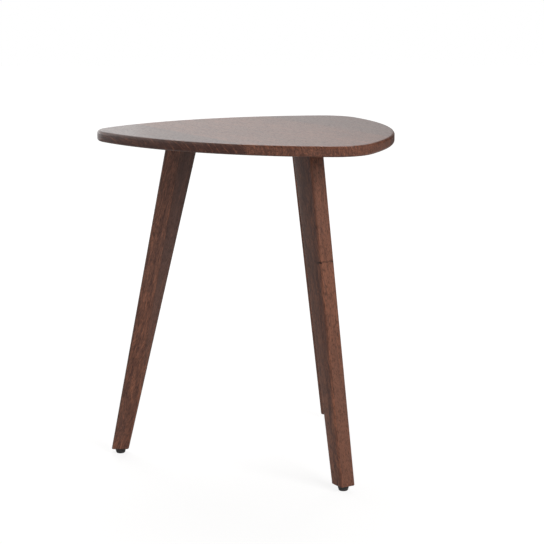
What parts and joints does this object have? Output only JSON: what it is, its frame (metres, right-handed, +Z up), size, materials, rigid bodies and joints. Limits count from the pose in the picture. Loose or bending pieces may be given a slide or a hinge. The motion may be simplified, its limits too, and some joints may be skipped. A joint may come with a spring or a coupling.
{
  "type": "side table",
  "caption": "Low triangular side table: wooden board with rounded corners and bowed sides on splayed legs that taper to small plastic glides",
  "frame": {"origin": "on the floor, under the middle of the box round the board", "axes": "+Z up; -X towards the left leg and its corner of the board; the XZ plane halves the table; the pictured side is -Y"},
  "size_m": [0.3982, 0.4036, 0.45],
  "materials": {
    "stained_board": "satin lacquer over walnut stain, edge-glued staves",
    "stained_leg": "satin lacquer over walnut stain, finger-jointed strips",
    "glide_plastic": "moulded black polyethylene",
    "nail_steel": "bright wire nail",
    "zinc_steel": "bright zinc plated",
    "spring_steel": "zinc plated spring steel",
    "insert_zinc": "die-cast zinc, as cast",
    "dowel_wood": "fluted beech, unfinished"
  },
  "bodies": {
    "root": {"table_top": "stained_board", "left_leg": "stained_leg", "front_leg": "stained_leg", "rear_leg": "stained_leg", "left_glide": "glide_plastic", "front_glide": "glide_plastic", "rear_glide": "glide_plastic", "glide_nails": "nail_steel", "leg_bolts": "zinc_steel", "flat_washers": "zinc_steel", "spring_washers": "spring_steel", "left_insert": "insert_zinc", "front_insert": "insert_zinc", "rear_insert": "insert_zinc", "left_dowel": "dowel_wood", "front_dowel": "dowel_wood", "rear_dowel": "dowel_wood"}
  },
  "joints": []
}
